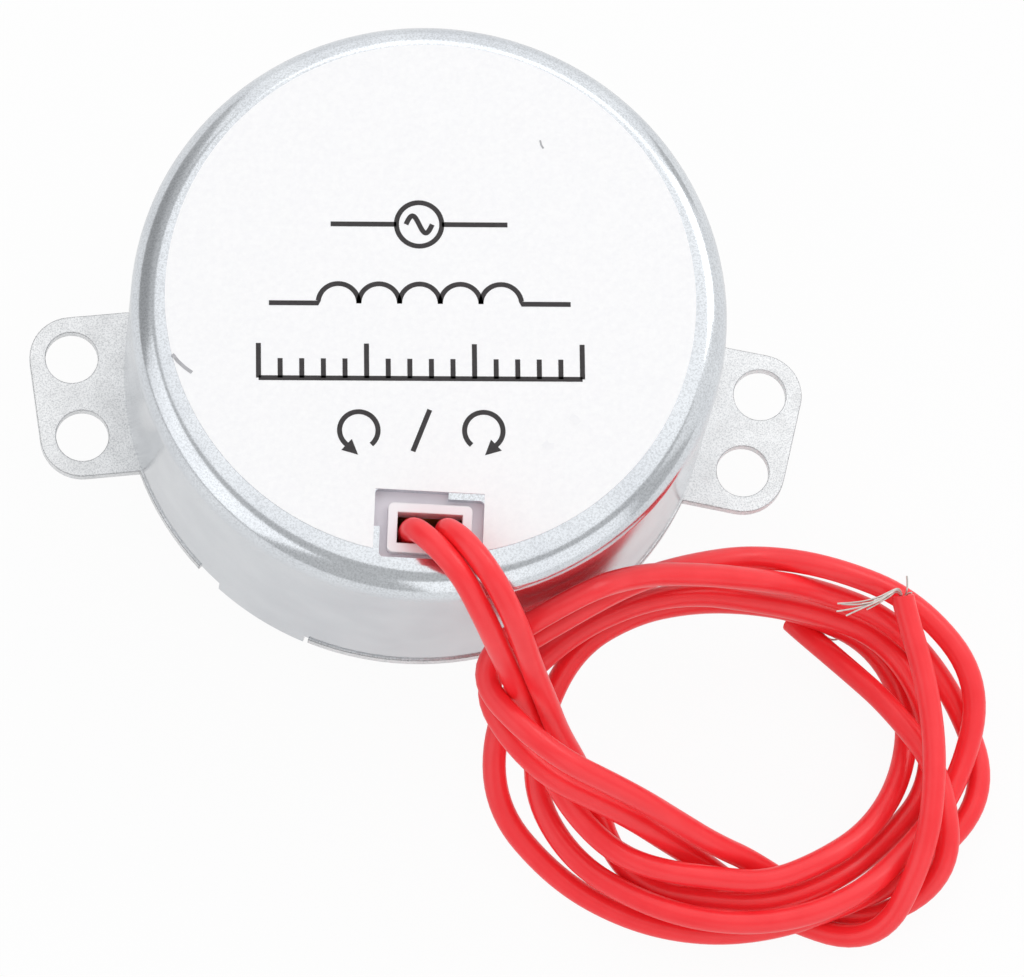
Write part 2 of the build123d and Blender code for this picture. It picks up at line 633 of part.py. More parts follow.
COIL_A = loop_path(LEAD_A_RADII, LEAD_A_HEIGHTS)
COIL_B = loop_path(LEAD_B_RADII, LEAD_B_HEIGHTS)
RUN_A = run_path(LEAD_A_ROUTE, COIL_A)
RUN_B = run_path(LEAD_B_ROUTE, COIL_B)
for name, pair in {
    "loops a to themselves": (COIL_A, COIL_A, True), "loops b to themselves": (COIL_B, COIL_B, True),
    "loops to each other": (COIL_A, COIL_B, False), "runs to each other": (RUN_A, RUN_B, False),
    "run a to loops b": (RUN_A, COIL_B, False), "run b to loops a": (RUN_B, COIL_A, False),
}.items():
    print(f"{name}: least gap {least_gap(*pair):.2f}, wanted {LEAST_GAP}")

NODES = {
    "rear_can": make_rear_can(),
    "rating_label": make_rating_label(),
    "front_plate": make_front_plate(),
    "plate_posts": make_plate_posts(),
    "pole_plate": make_pole_plate(),
    "coil_bobbin": make_coil_bobbin(),
    "coil_winding": disc(WINDING_OUTER_R, WINDING_LOW, WINDING_HIGH, BOBBIN_OUTER_R),
    "winding_tape": disc(WINDING_OUTER_R + TAPE_T, WINDING_LOW, WINDING_HIGH, WINDING_OUTER_R),
    "terminal_pins": make_terminal_pins(),
    "lead_outlet": make_lead_outlet(),
    "rotor_spindle": disc(SPINDLE_R, SPINDLE_BOTTOM, CAN_TOP),
    "spindle_washer": disc(WASHER_R, WASHER_Z, CAN_INNER_TOP, SPINDLE_R),
    "rotor_magnet": disc(MAGNET_OUTER_R, MAGNET_Z, MAGNET_Z + MAGNET_H, MAGNET_INNER_R),
    "rotor_hub": make_rotor_hub(),
    "gear_pins": make_gear_pins(),
    "first_gear": compound_gear(FIRST_CENTRE, FIRST_PHASE, FIRST_WHEEL_Z, PINION_T),
    "second_gear": compound_gear(SECOND_CENTRE, SECOND_PHASE, SECOND_WHEEL_Z, LAST_PINION_T),
    "output_gear": make_output_gear(),
    "output_shaft": make_output_shaft(),
    "output_bush": make_output_bush(),
    "thrust_washer": make_thrust_washer(),
    "lead_a_run": tube(RUN_A, "lead_a_run"),
    "lead_b_run": tube(RUN_B, "lead_b_run"),
    "lead_a_coil": tube(COIL_A, "lead_a_coil"),
    "lead_b_coil": tube(COIL_B, "lead_b_coil"),
    "lead_a_strands": strand_bundle(COIL_A),
    "lead_b_strands": strand_bundle(COIL_B),
}

for name, shape in NODES.items():
    export_step(shape, f"parts/{name}.step")
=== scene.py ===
"""Looks for a geared synchronous motor in a drawn steel can: finishes, label ink, leads and strands."""

import math

import bpy
from mathutils import Matrix, Vector


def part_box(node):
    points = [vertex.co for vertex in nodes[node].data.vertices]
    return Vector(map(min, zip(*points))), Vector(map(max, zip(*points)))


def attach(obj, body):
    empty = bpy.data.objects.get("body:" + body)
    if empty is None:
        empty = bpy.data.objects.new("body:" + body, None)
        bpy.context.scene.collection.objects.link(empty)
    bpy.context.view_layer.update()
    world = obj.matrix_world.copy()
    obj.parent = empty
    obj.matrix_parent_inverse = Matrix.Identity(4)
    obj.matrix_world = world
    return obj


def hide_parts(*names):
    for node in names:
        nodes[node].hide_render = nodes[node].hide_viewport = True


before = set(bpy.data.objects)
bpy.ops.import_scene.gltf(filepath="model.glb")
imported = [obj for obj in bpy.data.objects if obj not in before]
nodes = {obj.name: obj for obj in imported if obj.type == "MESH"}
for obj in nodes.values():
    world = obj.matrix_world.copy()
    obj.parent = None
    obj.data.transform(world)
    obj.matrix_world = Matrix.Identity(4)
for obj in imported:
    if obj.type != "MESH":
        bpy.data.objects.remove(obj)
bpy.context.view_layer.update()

MM = 0.001
HOUSING = "housing"

# Camera, from the photograph's can, label and ear holes
CAMERA_PLACE_MM = (-34.15, -227.56, 780.06)
CAMERA_RIGHT = (0.99717, 0.03747, 0.06515)
CAMERA_UP = (-0.05357, 0.96236, 0.26645)
SENSOR_MM = 36.0
LENS_MM = 333.77
CAMERA_REACH_M = 10.0

# Leads, as control points: routes from the terminals to the loops, then the loops as radius and height
# about one centre
WIRE_D_MM = 2.0
SPLINE_ORDER = 3
SPLINE_STEPS = 10
BEVEL_STEPS = 8
COIL_CENTRE_MM = (28.0, -30.0)
LOOP_START_DEG = 265.0
LOOP_STEP_DEG = 22.5
LEAD_A_ROUTE_MM = (
    (-0.95, -19.3, 18.4), (-0.95, -19.3, 21.0), (-0.6, -19.6, 23.6), (1.2, -21.4, 25.0),
    (3.4, -23.7, 24.7), (5.3, -26.2, 22.2), (6.9, -27.9, 18.2), (8.3, -29.1, 14.0),
    (9.7, -30.4, 9.9), (11.0, -32.2, 6.2), (12.6, -34.9, 3.2), (15.1, -37.9, 1.0),
    (18.4, -40.5, -0.4), (22.0, -41.6, -1.4),
)
LEAD_B_ROUTE_MM = (
    (2.2, -19.2, 18.4), (2.1, -19.2, 21.0), (2.1, -19.5, 23.6), (3.6, -21.0, 25.2),
    (5.7, -23.4, 25.0), (7.6, -25.9, 22.7), (9.0, -27.6, 18.9), (10.2, -29.1, 14.9),
    (11.6, -30.6, 10.9), (12.9, -32.2, 7.0), (14.8, -33.9, 3.2), (16.8, -36.4, -0.5),
    (18.4, -39.7, -3.4), (21.6, -42.6, -4.8),
)
LEAD_A_RADII_MM = (
    12.0, 12.6, 12.9, 14.1, 15.4, 16.8, 16.7, 14.5, 13.0, 12.7, 13.5, 15.1, 16.1,
    17.5, 16.9, 15.7, 15.5, 16.0, 17.0, 17.8, 20.3, 22.9, 20.5, 17.0, 15.7, 14.2,
    14.2, 15.9, 22.8, 18.2, 12.0, 10.1, 10.3, 13.6, 21.2, 19.4, 17.8, 17.6, 18.7,
)
LEAD_A_HEIGHTS_MM = (
    -2.0, -2.5, -2.9, -4.7, -6.6, -8.1, -7.5, -6.0, -4.0, -1.9, -0.2, 0.5, 0.0,
    -1.5, -2.9, -3.4, -3.5, -3.4, -3.3, -5.3, -5.9, -3.6, -1.3, 1.5, 1.3, 5.0,
    8.7, 11.1, 8.2, 6.9, 2.6, -2.4, -5.3, -9.0, -7.3, -2.3, -0.7, -0.3, 1.5,
)
LEAD_B_RADII_MM = (
    13.3, 13.9, 14.5, 15.6, 18.2, 18.1, 17.1, 13.9, 12.4, 12.5, 13.5, 16.0, 19.9,
    21.1, 18.6, 16.8, 15.9, 15.8, 16.7, 19.5, 23.2, 20.8, 18.3, 15.4, 12.8, 12.6,
    14.0, 16.2, 23.6, 17.4, 11.1, 9.1, 9.1, 10.2, 18.3, 22.3, 18.6, 14.8, 13.1, 13.5,
)
LEAD_B_HEIGHTS_MM = (
    -5.0, -4.7, -5.3, -7.2, -7.6, -5.6, -5.3, -3.3, -1.0, 1.8, 3.7, 3.3, 1.8,
    -2.1, -5.2, -6.5, -6.9, -6.7, -5.8, -7.9, -7.5, -6.5, -2.8, -1.2, 4.4, 7.7,
    11.4, 16.4, 11.2, 12.5, 6.5, 1.2, -2.0, -5.2, -9.9, -5.2, -2.9, -4.6, -6.4, -8.0,
)
LEAD_A_TIP_MM = (42.2, -17.3, 1.7)
LEAD_B_TIP_MM = (33.65, -17.4, -8.3)

# Bare strands at the leads' cut ends, each from the wire's core to its tip
STRAND_D_MM = 0.16
LEAD_A_STRANDS_MM = (
    ((42.1, -17.2, 1.7), (41.9, -16.7, 2.1), (41.2, -17.1, 2.5), (39.9, -17.9, 2.6), (38.2, -18.3, 2.3),
     (36.6, -18.4, 2.1)),
    ((42.0, -17.2, 1.8), (41.8, -16.8, 2.2), (41.1, -17.3, 2.6), (39.8, -18.2, 2.7), (38.2, -18.6, 2.5),
     (36.9, -18.5, 2.4)),
    ((42.0, -17.2, 1.7), (41.7, -16.8, 2.0), (41.0, -17.4, 2.4), (39.7, -18.2, 2.5), (38.1, -18.9, 2.5),
     (36.5, -19.2, 2.5)),
    ((42.1, -17.3, 1.8), (41.7, -16.9, 2.3), (41.0, -17.5, 2.8), (39.9, -18.3, 2.9), (38.4, -19.0, 2.8),
     (37.3, -19.6, 2.7)),
    ((42.0, -17.3, 1.7), (41.6, -16.9, 2.0), (40.9, -17.6, 2.3), (40.0, -18.3, 2.2), (39.1, -18.8, 2.1)),
    ((42.0, -17.3, 1.9), (41.6, -17.0, 2.2), (41.0, -17.7, 2.6), (40.2, -18.2, 2.7), (38.6, -18.5, 2.8)),
    ((42.4, -17.3, 1.8), (42.5, -17.0, 2.2), (42.5, -16.3, 2.5), (42.4, -15.8, 2.7)),
    ((42.4, -17.4, 1.9), (42.6, -17.1, 2.2), (42.9, -17.2, 2.4)),
)
LEAD_B_STRANDS_MM = (
    ((34.1, -17.75, -8.1), (33.5, -17.3, -8.1), (33.8, -16.7, -7.9), (34.8, -16.7, -7.7),
     (35.6, -17.5, -7.6), (36.3, -18.6, -7.6), (37.0, -19.1, -7.6), (37.8, -18.95, -7.6),
     (38.5, -18.4, -7.6)),
    ((34.1, -17.8, -8.2), (33.6, -17.4, -8.3), (33.5, -17.2, -8.3)),
)

# Label ink: rows of plain circuit signs, turned a little on the label as real print is
INK_STROKE_MM = 0.42
INK_TILT_DEG = 2.9
INK_ABOVE_MM = 0.015
MEET_MM = 1e-6
INK_X_MM = -0.9
ARC_STEPS = 48
HUMP_STEPS = 24
WAVE_STEPS = 32
SOURCE_ROW_Y_MM = 7.0
SOURCE_R_MM = 1.9
SOURCE_HALF_MM = 7.4
WAVE_LENGTH_MM = 2.2
WAVE_HEIGHT_MM = 0.75
WINDING_ROW_Y_MM = 0.1
WINDING_HALF_MM = 12.6
HUMP_R_MM = 1.7
HUMPS = 5
SCALE_ROW_Y_MM = -6.4
SCALE_HALF_MM = 13.5
SCALE_MARKS = 16
SCALE_LONG_EVERY = 5
LONG_MARK_MM = 3.0
SHORT_MARK_MM = 1.7
TURN_ROW_Y_MM = -10.9
TURN_R_MM = 1.6
TURN_X_MM = 5.2
TURN_SWEEP_DEG = 280.0
ARROW_HEAD_MM = 1.3
SLASH_MM = 3.6
SLASH_LEAN_MM = 0.72

# Label wear: a nick at the left edge, drawn flat with the shade of its lifted edge painted grey, a fleck
# and two smudges
NICK_SHADE_MM = ((-21.3, -5.5), (-20.8, -6.1), (-20.2, -6.6), (-19.6, -7.0))
NICK_SHADE_WIDTH_MM = 0.3
FLECKS_MM = (((8.6, 14.9), (8.7, 14.5), (8.9, 14.2)),)
FLECK_WIDTH_MM = 0.15
SMUDGES_MM = (((12.0, -9.0), (12.4, -9.2), (12.7, -9.6)), ((9.9, -11.4), (10.2, -11.7), (10.7, -11.7)))
SMUDGE_WIDTH_MM = 0.6

# Room light: even and white, darker towards one side
WORLD_LIGHT = 0.585
DARK_SIDE = (-0.92, 0.30, 0.25)
DARK_SIDE_EDGE = (0.80, 0.96)
DARK_SIDE_LIGHT = 0.4

# Lamps: name, place, size and watts, all aimed at one point in the can
LAMP_TARGET_MM = (0, 0, 10)
LAMPS = (
    ("key", (-780, -360, 540), 1000, 2.2),
    ("back", (60, 900, 320), 1300, 2.6),
    ("top", (150, 280, 800), 1000, 1.75),
    ("right", (900, 250, 420), 900, 0.8),
    ("glint", (700, 450, 600), 420, 0.9),
    ("front_right", (520, -860, 330), 1100, 2.2),
)

# Can: the drawn edge's grain starts this far under the top and is full at the second depth
EDGE_GRAIN_LOW_MM = 2.6
EDGE_GRAIN_FULL_MM = 1.3

# Plate: the radius of its rolled edge, and the cosines of the turn where the edge's painted shade starts
# and is full
PLATE_EDGE_MM = 0.18
EDGE_TURN = (0.99, 0.8)

# Floor, and the share of plain white in it for the camera and in reflections
FLOOR_Z_MM = -10.05
FLOOR_SIZE_MM = 3000.0
FLOOR_GREY = 0.85
FLOOR_ROUGHNESS = 0.9
FLOOR_SEEN_WHITE = 0.94
FLOOR_MIRRORED_WHITE = 0.5

# Sockets of a Mix node's colour form
MIX_SHARE = 0
MIX_FIRST = 6
MIX_SECOND = 7
MIX_RESULT = 2


def srgb(red, green, blue):
    """A colour written as 0 to 255 display values, as linear RGBA."""
    def linear(value):
        share = value / 255
        return share / 12.92 if share <= 0.04045 else ((share + 0.055) / 1.055) ** 2.4
    return (linear(red), linear(green), linear(blue), 1.0)


def new_material(name):
    """An empty node material with its Principled shader."""
    material = bpy.data.materials.new(name)
    material.use_nodes = True
    return material, material.node_tree, material.node_tree.nodes["Principled BSDF"]


def add(tree, kind, **inputs):
    """A shader node with some of its inputs set."""
    node = tree.nodes.new(kind)
    for name, value in inputs.items():
        node.inputs[name].default_value = value
    return node


def object_noise(tree, scale, detail, roughness=0.5):
    """Noise in the object's own coordinates."""
    place = tree.nodes.new("ShaderNodeTexCoord")
    noise = add(tree, "ShaderNodeTexNoise", Scale=scale, Detail=detail, Roughness=roughness)
    tree.links.new(place.outputs["Object"], noise.inputs["Vector"])
    return noise


def ramp(tree, source, stops):
    """A colour ramp over a value, from (position, colour) stops."""
    node = tree.nodes.new("ShaderNodeValToRGB")
    elements = node.color_ramp.elements
    while len(elements) < len(stops):
        elements.new(0.5)
    for element, (position, colour) in zip(elements, stops):
        element.position = position
        element.color = colour
    tree.links.new(source, node.inputs["Fac"])
    return node


def bump(tree, shader, height, strength, distance_mm, edge_mm=0.0):
    """Bump from a height, over edges that look slightly rounded."""
    node = add(tree, "ShaderNodeBump", Strength=strength, Distance=distance_mm * MM)
    tree.links.new(height, node.inputs["Height"])
    if edge_mm:
        edge = add(tree, "ShaderNodeBevel", Radius=edge_mm * MM)
        tree.links.new(edge.outputs["Normal"], node.inputs["Normal"])
    tree.links.new(node.outputs["Normal"], shader.inputs["Normal"])


def grey(value):
    """A linear grey."""
    return (value, value, value, 1.0)


def mixed(tree, share, first, second, blend_type="MIX"):
    """A mix of two colours by a share, which is a number or an output."""
    node = tree.nodes.new("ShaderNodeMix")
    node.data_type = "RGBA"
    node.blend_type = blend_type
    if isinstance(share, float):
        node.inputs[MIX_SHARE].default_value = share
    else:
        tree.links.new(share, node.inputs[MIX_SHARE])
    tree.links.new(first, node.inputs[MIX_FIRST])
    tree.links.new(second, node.inputs[MIX_SECOND])
    return node.outputs[MIX_RESULT]


def times(tree, first, second):
    """The product of two values."""
    node = tree.nodes.new("ShaderNodeMath")
    node.operation = "MULTIPLY"
    tree.links.new(first, node.inputs[0])
    tree.links.new(second, node.inputs[1])
    return node.outputs["Value"]


def between(tree, source, start, end):
    """0 at one value and 1 at another, straight between and level beyond."""
    node = add(tree, "ShaderNodeMapRange", **{"From Min": start, "From Max": end})
    tree.links.new(source, node.inputs["Value"])
    return node.outputs["Result"]


def height_share(tree, low_z, high_z):
    """0 below one height and 1 above another."""
    place = tree.nodes.new("ShaderNodeTexCoord")
    split = tree.nodes.new("ShaderNodeSeparateXYZ")
    tree.links.new(place.outputs["Object"], split.inputs["Vector"])
    return between(tree, split.outputs["Z"], low_z, high_z)


def can_material():
    """Drawn zinc-coated sheet: a smooth wall with soft drift, and a crushed grain on the drawn edge."""
    material, tree, shader = new_material("can_zinc")
    shader.inputs["Metallic"].default_value = 1.0
    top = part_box("rear_can")[1][2]
    edge = height_share(tree, top - EDGE_GRAIN_LOW_MM * MM, top - EDGE_GRAIN_FULL_MM * MM)
    drift = object_noise(tree, scale=160.0, detail=2.0)
    tint = ramp(tree, drift.outputs["Fac"], [(0.3, srgb(207, 211, 216)), (0.7, srgb(217, 221, 225))])
    grain = object_noise(tree, scale=5600.0, detail=2.0, roughness=0.7)
    crush = ramp(tree, grain.outputs["Fac"], [(0.36, grey(0.91)), (0.58, grey(1.12))])
    colour = mixed(tree, edge, tint.outputs["Color"], crush.outputs["Color"], "MULTIPLY")
    tree.links.new(colour, shader.inputs["Base Color"])
    gloss = ramp(tree, drift.outputs["Fac"], [(0.3, grey(0.18)), (0.7, grey(0.14))])
    tree.links.new(gloss.outputs["Color"], shader.inputs["Roughness"])
    crushed = times(tree, edge, grain.outputs["Fac"])
    bump(tree, shader, crushed, strength=0.08, distance_mm=0.03)
    return material


def edge_share(tree, radius_mm):
    """1 along sharp edges and 0 on open faces."""
    soft = add(tree, "ShaderNodeBevel", Radius=radius_mm * MM)
    face = tree.nodes.new("ShaderNodeNewGeometry")
    match = tree.nodes.new("ShaderNodeVectorMath")
    match.operation = "DOT_PRODUCT"
    tree.links.new(soft.outputs["Normal"], match.inputs[0])
    tree.links.new(face.outputs["Normal"], match.inputs[1])
    return between(tree, match.outputs["Value"], *EDGE_TURN)


def plate_material():
    """Flat zinc plate with a fine bright speckle, and rolled-over edges painted a darker grey as their
    shade.
    """
    material, tree, shader = new_material("plate_zinc")
    shader.inputs["Metallic"].default_value = 1.0
    speckle = object_noise(tree, scale=8200.0, detail=2.0, roughness=0.7)
    drift = object_noise(tree, scale=420.0, detail=2.0)
    fine = ramp(tree, speckle.outputs["Fac"], [(0.34, srgb(208, 210, 212)), (0.56, srgb(243, 244, 245))])
    broad = ramp(tree, drift.outputs["Fac"], [(0.3, grey(0.9)), (0.6, grey(1.0))])
    face = mixed(tree, 1.0, fine.outputs["Color"], broad.outputs["Color"], "MULTIPLY")
    # Painted shade: the rolled edges are painted a darker grey for the dark outline they show under
    # light.
    painted_edge_shade = ramp(tree, speckle.outputs["Fac"], [(0.3, srgb(92, 94, 98)), (0.7, srgb(150, 152, 156))])
    colour = mixed(tree, edge_share(tree, PLATE_EDGE_MM), face, painted_edge_shade.outputs["Color"])
    tree.links.new(colour, shader.inputs["Base Color"])
    gloss = ramp(tree, speckle.outputs["Fac"], [(0.4, grey(0.46)), (0.7, grey(0.34))])
    tree.links.new(gloss.outputs["Color"], shader.inputs["Roughness"])
    bump(tree, shader, speckle.outputs["Fac"], strength=0.12, distance_mm=0.02, edge_mm=PLATE_EDGE_MM)
    return material


def paper_material():
    """Smooth white label stock with a faint fibre."""
    material, tree, shader = new_material("label_paper")
    fibre = object_noise(tree, scale=2600.0, detail=4.0)
    tint = ramp(tree, fibre.outputs["Fac"], [(0.3, srgb(247, 247, 249)), (0.7, srgb(252, 252, 253))])
    tree.links.new(tint.outputs["Color"], shader.inputs["Base Color"])
    shader.inputs["Roughness"].default_value = 0.45
    bump(tree, shader, fibre.outputs["Fac"], strength=0.05, distance_mm=0.02)
    return material


def plastic_material(name, colour, shade, roughness, scale, edge_mm=0.0):
    """Moulded plastic with slight colour drift and a fine skin."""
    material, tree, shader = new_material(name)
    drift = object_noise(tree, scale, detail=4.0)
    tint = ramp(tree, drift.outputs["Fac"], [(0.3, shade), (0.7, colour)])
    tree.links.new(tint.outputs["Color"], shader.inputs["Base Color"])
    shader.inputs["Roughness"].default_value = roughness
    bump(tree, shader, drift.outputs["Fac"], strength=0.05, distance_mm=0.03, edge_mm=edge_mm)
    return material


def metal_material(name, light, dark, roughness, scale, edge_mm=0.1):
    """Plain turned or drawn metal with fine variation."""
    material, tree, shader = new_material(name)
    shader.inputs["Metallic"].default_value = 1.0
    grain = object_noise(tree, scale, detail=5.0, roughness=0.6)
    tint = ramp(tree, grain.outputs["Fac"], [(0.3, dark), (0.7, light)])
    tree.links.new(tint.outputs["Color"], shader.inputs["Base Color"])
    shader.inputs["Roughness"].default_value = roughness
    bump(tree, shader, grain.outputs["Fac"], strength=0.08, distance_mm=0.02, edge_mm=edge_mm)
    return material


def dress(node_names, material):
    """Gives CAD nodes a finish."""
    for name in node_names:
        slots = nodes[name].material_slots
        for slot in slots:
            slot.material = material


def loop_points(radii, heights):
    """The control points of a lead's loops about the coil's centre, in metres."""
    points = []
    for mark, (radius, height) in enumerate(zip(radii, heights)):
        angle = math.radians(LOOP_START_DEG + mark * LOOP_STEP_DEG)
        x = COIL_CENTRE_MM[0] + radius * math.cos(angle)
        y = COIL_CENTRE_MM[1] + radius * math.sin(angle)
        points.append(Vector((x, y, height)) * MM)
    return points


def add_spline(curve, points):
    """One smooth open line with these control points."""
    spline = curve.splines.new("NURBS")
    spline.points.add(len(points) - 1)
    for place, point in zip(spline.points, points):
        place.co = (*point, 1.0)
    spline.order_u = SPLINE_ORDER
    spline.use_endpoint_u = True


def wire_curve(name, points, diameter_mm, material):
    """A round wire along a NURBS line with these control points."""
    curve = bpy.data.curves.new(name, "CURVE")
    curve.dimensions = "3D"
    curve.bevel_depth = diameter_mm * MM / 2
    curve.bevel_resolution = BEVEL_STEPS
    curve.use_fill_caps = True
    curve.resolution_u = SPLINE_STEPS
    add_spline(curve, points)
    curve.materials.append(material)
    piece = bpy.data.objects.new(name, curve)
    bpy.context.collection.objects.link(piece)
    return piece


def make_strands(name, strands_mm, material, stood_for):
    """The tinned strands that stand out of a lead's cut end."""
    first, *others = [[Vector(point) * MM for point in strand] for strand in strands_mm]
    piece = wire_curve(name, first, STRAND_D_MM, material)
    for strand in others:
        add_spline(piece.data, strand)
    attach(piece, HOUSING)
    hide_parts(stood_for)
    return piece


def ribbon(verts, faces, points, width):
    """A flat stroke of even width along points, closed if its ends meet."""
    closed = (points[0] - points[-1]).length < MEET_MM
    line = points[:-1] if closed else points
    count = len(line)
    start = len(verts)
    for i, point in enumerate(line):
        before = line[i - 1] if closed or i else point
        after = line[(i + 1) % count] if closed or i < count - 1 else point
        along = (after - before).normalized()
        side = Vector((-along.y, along.x)) * width / 2
        verts += [point + side, point - side]
    for i in range(count if closed else count - 1):
        a, b = start + 2 * i, start + 2 * ((i + 1) % count)
        faces.append((a, a + 1, b + 1, b))


def arc_points(centre, radius, first_deg, last_deg, steps=ARC_STEPS):
    """Points along an arc."""
    angles = [math.radians(first_deg + (last_deg - first_deg) * i / steps) for i in range(steps + 1)]
    return [Vector(centre) + radius * Vector((math.cos(angle), math.sin(angle))) for angle in angles]


def label_print(name, strokes, width_mm, material, tilt_deg=0.0, heads=()):
    """Flat strokes and arrow heads that lie on the label."""
    verts, faces = [], []
    for stroke in strokes:
        ribbon(verts, faces, [Vector(point) for point in stroke], width_mm)
    for head in heads:
        start = len(verts)
        verts += head
        faces.append((start, start + 1, start + 2))
    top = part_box("rating_label")[1][2] + INK_ABOVE_MM * MM
    mesh = bpy.data.meshes.new(name)
    mesh.from_pydata([(*(vert * MM), top) for vert in verts], [], faces)
    mesh.transform(Matrix.Rotation(math.radians(tilt_deg), 4, "Z"))
    mesh.materials.append(material)
    piece = bpy.data.objects.new(name, mesh)
    bpy.context.collection.objects.link(piece)
    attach(piece, HOUSING)


def source_strokes():
    """A wave in a ring with a stub each side, the sign for an alternating source."""
    centre = Vector((INK_X_MM, SOURCE_ROW_Y_MM))
    wave = []
    for step in range(WAVE_STEPS + 1):
        share = step / WAVE_STEPS
        across = (share - 0.5) * WAVE_LENGTH_MM
        wave.append(centre + Vector((across, WAVE_HEIGHT_MM * math.sin(2 * math.pi * share))))
    strokes = [arc_points(centre, SOURCE_R_MM, 0, 360), wave]
    for side in (-1, 1):
        inner = centre + Vector((side * SOURCE_R_MM, 0))
        outer = centre + Vector((side * SOURCE_HALF_MM, 0))
        strokes.append([inner, outer])
    return strokes


def winding_strokes():
    """A row of humps between two stubs, the sign for a winding."""
    y = WINDING_ROW_Y_MM
    half = HUMPS * HUMP_R_MM
    points = [Vector((INK_X_MM - WINDING_HALF_MM, y))]
    for hump in range(HUMPS):
        middle = (INK_X_MM - half + (2 * hump + 1) * HUMP_R_MM, y)
        points += arc_points(middle, HUMP_R_MM, 180, 0, HUMP_STEPS)
    points.append(Vector((INK_X_MM + WINDING_HALF_MM, y)))
    return [points]


def scale_strokes():
    """A plain scale of marks on a line."""
    y = SCALE_ROW_Y_MM
    strokes = [[(INK_X_MM - SCALE_HALF_MM, y), (INK_X_MM + SCALE_HALF_MM, y)]]
    for mark in range(SCALE_MARKS):
        x = INK_X_MM + SCALE_HALF_MM * (2 * mark / (SCALE_MARKS - 1) - 1)
        rise = LONG_MARK_MM if mark % SCALE_LONG_EVERY == 0 else SHORT_MARK_MM
        strokes.append([(x, y), (x, y + rise)])
    return strokes


def turn_strokes():
    """A round arrow each way with a slash between, and the arrows' heads."""
    strokes, heads = [], []
    for side in (-1, 1):
        middle = (INK_X_MM + side * TURN_X_MM, TURN_ROW_Y_MM)
        first = 90 + side * TURN_SWEEP_DEG / 2
        last = 90 - side * TURN_SWEEP_DEG / 2
        arc = arc_points(middle, TURN_R_MM, first, last)
        strokes.append(arc)
        along = (arc[-1] - arc[-2]).normalized()
        across = Vector((-along.y, along.x)) * ARROW_HEAD_MM / 2
        heads.append([arc[-1] + across, arc[-1] - across, arc[-1] + along * ARROW_HEAD_MM])
    low = (INK_X_MM - SLASH_LEAN_MM, TURN_ROW_Y_MM - SLASH_MM / 2)
    high = (INK_X_MM + SLASH_LEAN_MM, TURN_ROW_Y_MM + SLASH_MM / 2)
    strokes.append([low, high])
    return strokes, heads


def make_lead(name, route_mm, radii, heights, tip_mm, material, stood_for):
    """One lead from its terminal to its cut end."""
    points = [Vector(point) * MM for point in route_mm]
    points += loop_points(radii, heights)
    points.append(Vector(tip_mm) * MM)
    lead = wire_curve(name, points, WIRE_D_MM, material)
    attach(lead, HOUSING)
    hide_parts(*stood_for)


def make_camera():
    """The photograph's camera."""
    right, up = Vector(CAMERA_RIGHT), Vector(CAMERA_UP)
    back = right.cross(up)
    data = bpy.data.cameras.new("camera")
    data.sensor_width = SENSOR_MM
    data.lens = LENS_MM
    data.clip_end = CAMERA_REACH_M
    camera = bpy.data.objects.new("camera", data)
    axes = Matrix((right, up, back)).transposed().to_4x4()
    camera.matrix_world = Matrix.Translation(Vector(CAMERA_PLACE_MM) * MM) @ axes
    bpy.context.collection.objects.link(camera)
    bpy.context.scene.camera = camera


def make_floor():
    """A plain white floor that keeps a faint shadow, and is clear from below."""
    half = FLOOR_SIZE_MM * MM / 2
    z = FLOOR_Z_MM * MM
    mesh = bpy.data.meshes.new("floor")
    corners = [(-half, -half, z), (half, -half, z), (half, half, z), (-half, half, z)]
    mesh.from_pydata(corners, [], [(0, 1, 2, 3)])
    floor = bpy.data.objects.new("floor", mesh)
    bpy.context.collection.objects.link(floor)
    material, tree, shader = new_material("floor_white")
    shader.inputs["Base Color"].default_value = grey(FLOOR_GREY)
    shader.inputs["Roughness"].default_value = FLOOR_ROUGHNESS
    glow = add(tree, "ShaderNodeEmission", Strength=1.0)
    rays = tree.nodes.new("ShaderNodeLightPath")
    mirrored = tree.nodes.new("ShaderNodeMath")
    mirrored.operation = "MULTIPLY"
    mirrored.inputs[1].default_value = FLOOR_MIRRORED_WHITE
    tree.links.new(rays.outputs["Is Glossy Ray"], mirrored.inputs[0])
    share = tree.nodes.new("ShaderNodeMath")
    share.operation = "MULTIPLY_ADD"
    share.inputs[1].default_value = FLOOR_SEEN_WHITE
    tree.links.new(rays.outputs["Is Camera Ray"], share.inputs[0])
    tree.links.new(mirrored.outputs["Value"], share.inputs[2])
    mix = tree.nodes.new("ShaderNodeMixShader")
    tree.links.new(share.outputs["Value"], mix.inputs["Fac"])
    tree.links.new(shader.outputs["BSDF"], mix.inputs[1])
    tree.links.new(glow.outputs["Emission"], mix.inputs[2])
    clear = tree.nodes.new("ShaderNodeBsdfTransparent")
    side = tree.nodes.new("ShaderNodeNewGeometry")
    one_sided = tree.nodes.new("ShaderNodeMixShader")
    tree.links.new(side.outputs["Backfacing"], one_sided.inputs["Fac"])
    tree.links.new(mix.outputs["Shader"], one_sided.inputs[1])
    tree.links.new(clear.outputs["BSDF"], one_sided.inputs[2])
    tree.links.new(one_sided.outputs["Shader"], tree.nodes["Material Output"].inputs["Surface"])
    mesh.materials.append(material)


def make_lamp(name, place_mm, size_mm, watts):
    """A soft square lamp aimed at the can."""
    data = bpy.data.lights.new(name, "AREA")
    data.size = size_mm * MM
    data.energy = watts
    lamp = bpy.data.objects.new(name, data)
    lamp.location = Vector(place_mm) * MM
    aim = (Vector(LAMP_TARGET_MM) - Vector(place_mm)).normalized()
    lamp.rotation_euler = aim.to_track_quat("-Z", "Y").to_euler()
    bpy.context.collection.objects.link(lamp)


